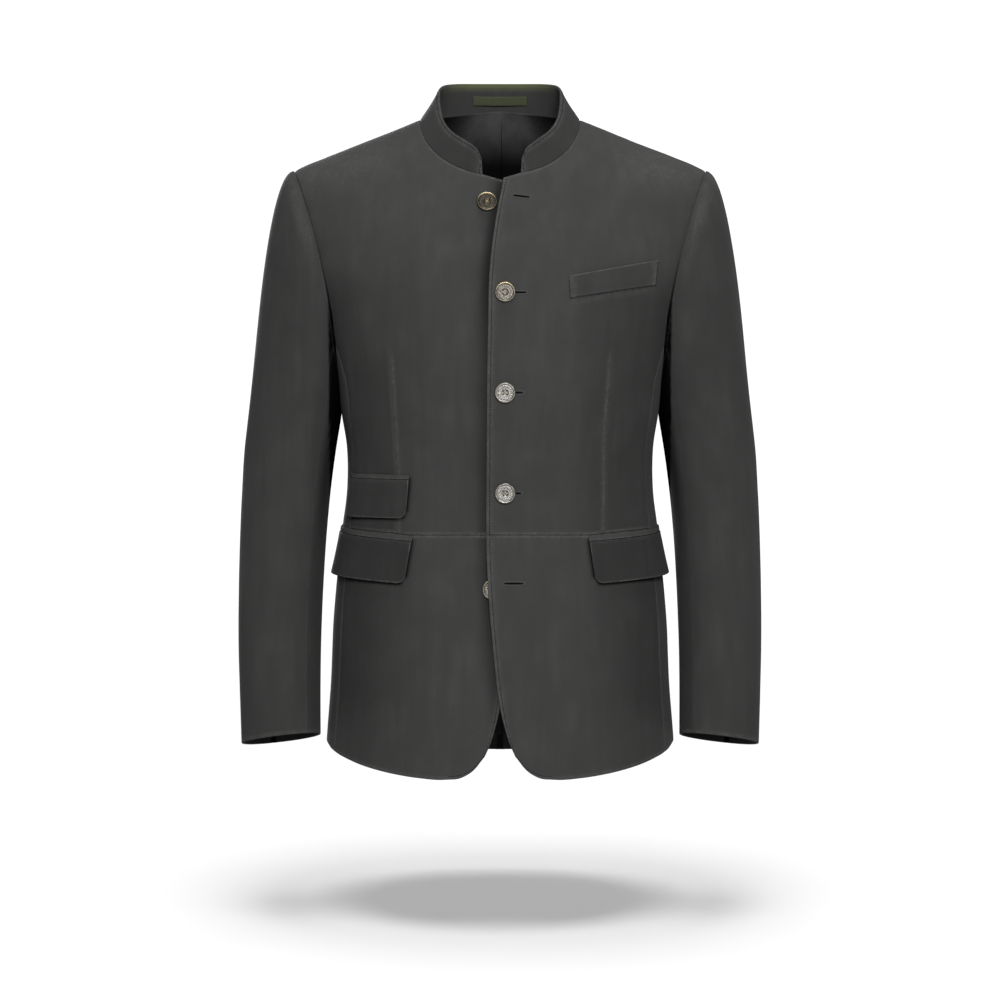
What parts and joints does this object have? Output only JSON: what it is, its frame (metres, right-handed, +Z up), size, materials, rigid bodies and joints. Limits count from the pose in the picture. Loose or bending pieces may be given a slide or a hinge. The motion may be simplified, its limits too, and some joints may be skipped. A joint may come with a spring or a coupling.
{
  "type": "blazer",
  "caption": "Hollow stand-collar suede blazer, filled out as worn, with a lapped button front, slanted hip flaps, a ticket flap, a breast welt and set-in sleeves with open cuffs.",
  "frame": {"origin": "where the wearer holds the blazer: on the middle plane under the shoulder line, level with the points where the neck seam meets the shoulder seams", "axes": "+Z up the wearer, +Y from the front to the back, +X to the wearer's left"},
  "size_m": [0.5842, 0.2524, 0.7786],
  "materials": {
    "suede": "napped charcoal suede, rubbed paler along seams and edges",
    "lining": "dark satin",
    "loop": "olive woven tape",
    "button_metal": "antique silver with a brassy rim"
  },
  "bodies": {
    "root": {"back_left": "suede", "back_right": "suede", "breast_welt": "suede", "button_1": "button_metal", "button_2": "button_metal", "button_3": "button_metal", "button_4": "button_metal", "button_5": "button_metal", "collar": "suede", "flap_hip_left": "suede", "flap_hip_right": "suede", "flap_ticket": "suede", "front_lower_left": "suede", "front_lower_right": "suede", "front_upper_left": "suede", "front_upper_right": "suede", "hanger_loop": "loop", "jet_hip_left": "suede", "jet_hip_right": "suede", "jet_ticket": "suede", "lining_back": "lining", "side_left": "suede", "side_right": "suede", "sleeve_top_left": "suede", "sleeve_top_right": "suede", "sleeve_under_left": "suede", "sleeve_under_right": "suede"}
  },
  "joints": []
}
